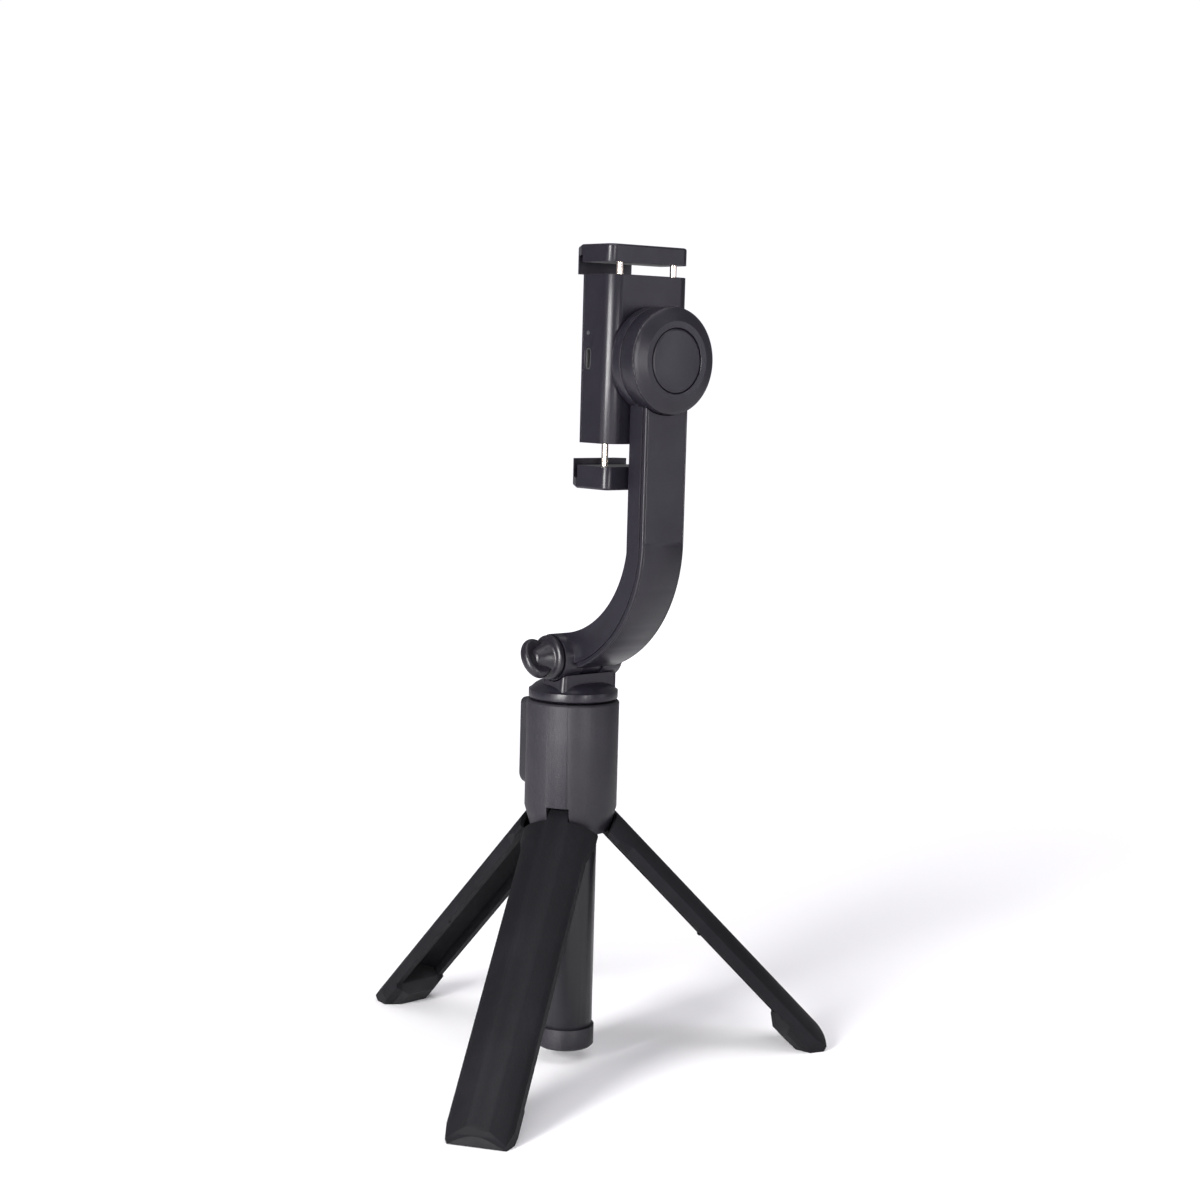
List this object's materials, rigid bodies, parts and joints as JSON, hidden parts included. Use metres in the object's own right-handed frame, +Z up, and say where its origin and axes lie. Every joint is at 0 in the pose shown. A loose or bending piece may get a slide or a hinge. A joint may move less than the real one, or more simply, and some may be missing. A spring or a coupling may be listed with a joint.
{
  "type": "phone gimbal stick",
  "caption": "Telescopic selfie stick with folding tripod legs, a swivelling tilting arm, a roll motor and a sprung phone clamp; a shutter remote clips into the handle.",
  "frame": {"origin": "on the ground plane through the three foot tips, under the axis of the handle", "axes": "+Z up along the telescopic pole; +Y towards the roll motor, the side away from the phone's screen; +X towards the tilt knob and the charging socket"},
  "size_m": [0.1862, 0.168, 0.3033],
  "materials": {
    "grip_plastic": "moulded with a fine grain, matte",
    "leg_plastic": "moulded with a fine grain, matte",
    "foot_rubber": "soft, matte",
    "head_plastic": "moulded, fine grain, low satin",
    "knob_plastic": "moulded, satin",
    "inner_plastic": "plain moulded",
    "tube_paint": "black anodised, satin",
    "pole_steel": "drawn tube, satin",
    "rod_steel": "polished",
    "fastener_steel": "plain steel",
    "spring_steel": "drawn wire",
    "washer_rubber": "fibre friction washer",
    "pad_rubber": "soft, matte",
    "rotor_steel": "turned",
    "magnet": "nickel plated",
    "lamination": "stamped sheets, dark",
    "copper": "enamelled copper wire",
    "battery_wrap": "shrink wrap",
    "circuit_board": "solder resist",
    "socket_steel": "stamped",
    "light_lens": "smoked moulded light pipe",
    "button_plastic": "moulded, satin",
    "remote_plastic": "moulded with a fine grain, matte",
    "cell_steel": "plain steel can"
  },
  "bodies": {
    "stand": {"handle_shell": "grip_plastic", "handle_top_ring": "grip_plastic", "leg_hinge_pins": "fastener_steel", "outer_tube": "tube_paint", "tube_end_cap": "grip_plastic"},
    "leg_1": {"leg_1": "leg_plastic", "foot_pad_1": "foot_rubber"},
    "leg_2": {"leg_2": "leg_plastic", "foot_pad_2": "foot_rubber"},
    "leg_3": {"leg_3": "leg_plastic", "foot_pad_3": "foot_rubber"},
    "pole_1": {"pole_1": "pole_steel", "pole_guide_1": "inner_plastic"},
    "pole_2": {"pole_2": "pole_steel", "pole_guide_2": "inner_plastic"},
    "pole_3": {"pole_3": "pole_steel", "pole_guide_3": "inner_plastic"},
    "pole_4": {"pole_4": "pole_steel", "pole_guide_4": "inner_plastic", "swivel_plug": "inner_plastic", "swivel_screw": "fastener_steel"},
    "swivel": {"swivel_base": "head_plastic"},
    "arm": {"arm_shell": "head_plastic", "arm_cover": "head_plastic", "hinge_bolt": "fastener_steel", "hinge_washers": "washer_rubber", "motor_cover": "head_plastic", "motor_cap": "head_plastic", "rotor_bell": "rotor_steel", "motor_shaft": "fastener_steel", "rotor_magnets": "magnet"},
    "knob": {"thumb_knob": "knob_plastic"},
    "clamp": {"motor_base": "head_plastic", "motor_bearings": "fastener_steel", "stator_core": "lamination", "stator_coils": "copper", "clamp_rear": "head_plastic", "clamp_front": "head_plastic", "clamp_screws": "fastener_steel", "clamp_pad": "pad_rubber", "battery": "battery_wrap", "main_board": "circuit_board", "usb_socket": "socket_steel", "status_light": "light_lens", "upper_springs": "spring_steel", "lower_springs": "spring_steel"},
    "mode_button": {"mode_button": "button_plastic"},
    "upper_jaw": {"upper_jaw": "head_plastic", "upper_pad": "pad_rubber", "upper_rods": "rod_steel"},
    "lower_jaw": {"lower_jaw": "head_plastic", "lower_pad": "pad_rubber", "lower_rods": "rod_steel"},
    "remote": {"remote_shell": "remote_plastic", "remote_back": "remote_plastic", "remote_board": "circuit_board", "coin_cell": "cell_steel"},
    "shutter_button": {"shutter_button": "button_plastic"}
  },
  "joints": [
    {"name": "leg_1_fold", "type": "hinge", "parent": "stand", "child": "leg_1", "pos_m": [0.01045, 0.00705, 0.093], "axis": [-0.5592, 0.829, 0], "range_deg": [0, 44]},
    {"name": "leg_2_fold", "type": "hinge", "parent": "stand", "child": "leg_2", "pos_m": [0.00088, -0.01257, 0.093], "axis": [0.9976, 0.0698, 0], "range_deg": [0, 44]},
    {"name": "leg_3_fold", "type": "hinge", "parent": "stand", "child": "leg_3", "pos_m": [-0.01132, 0.00552, 0.093], "axis": [-0.4384, -0.8988, 0], "range_deg": [0, 44]},
    {"name": "pole_1_slide", "type": "slide", "parent": "stand", "child": "pole_1", "axis": [0, 0, 1], "range_m": [0, 0.11]},
    {"name": "pole_2_slide", "type": "slide", "parent": "pole_1", "child": "pole_2", "axis": [0, 0, 1], "range_m": [0, 0.11]},
    {"name": "pole_3_slide", "type": "slide", "parent": "pole_2", "child": "pole_3", "axis": [0, 0, 1], "range_m": [0, 0.11]},
    {"name": "pole_4_slide", "type": "slide", "parent": "pole_3", "child": "pole_4", "axis": [0, 0, 1], "range_m": [0, 0.11]},
    {"name": "head_swivel", "type": "hinge", "parent": "pole_4", "child": "swivel", "pos_m": [0, 0, 0.1381], "axis": [0, 0, 1], "continuous": true},
    {"name": "arm_tilt", "type": "hinge", "parent": "swivel", "child": "arm", "pos_m": [0, 0.0035, 0.1544], "axis": [1, 0, 0], "range_deg": [0, 90]},
    {"name": "knob_turn", "type": "hinge", "parent": "arm", "child": "knob", "pos_m": [0.018, 0.0035, 0.1544], "axis": [1, 0, 0], "range_deg": [-45, 360]},
    {"name": "roll_motor", "type": "hinge", "parent": "arm", "child": "clamp", "pos_m": [0, 0.045, 0.2633], "axis": [0, 1, 0], "range_deg": [-150, 150]},
    {"name": "mode_press", "type": "slide", "parent": "clamp", "child": "mode_button", "axis": [1, 0, 0], "range_m": [0, 0.0006], "stiffness_N_per_m": 900, "springref_m": -0.0008},
    {"name": "upper_jaw_slide", "type": "slide", "parent": "clamp", "child": "upper_jaw", "axis": [0, 0, 1], "range_m": [-0.004, 0.012], "deforming": ["upper_springs"]},
    {"name": "lower_jaw_slide", "type": "slide", "parent": "clamp", "child": "lower_jaw", "axis": [0, 0, -1], "range_m": [-0.0078, 0.012], "deforming": ["lower_springs"]},
    {"name": "remote_slide", "type": "slide", "parent": "stand", "child": "remote", "axis": [0.0698, -0.9976, 0], "range_m": [0, 0.06]},
    {"name": "shutter_press", "type": "slide", "parent": "remote", "child": "shutter_button", "axis": [-0.0698, 0.9976, 0], "range_m": [0, 0.0008], "stiffness_N_per_m": 700, "springref_m": -0.0008}
  ]
}
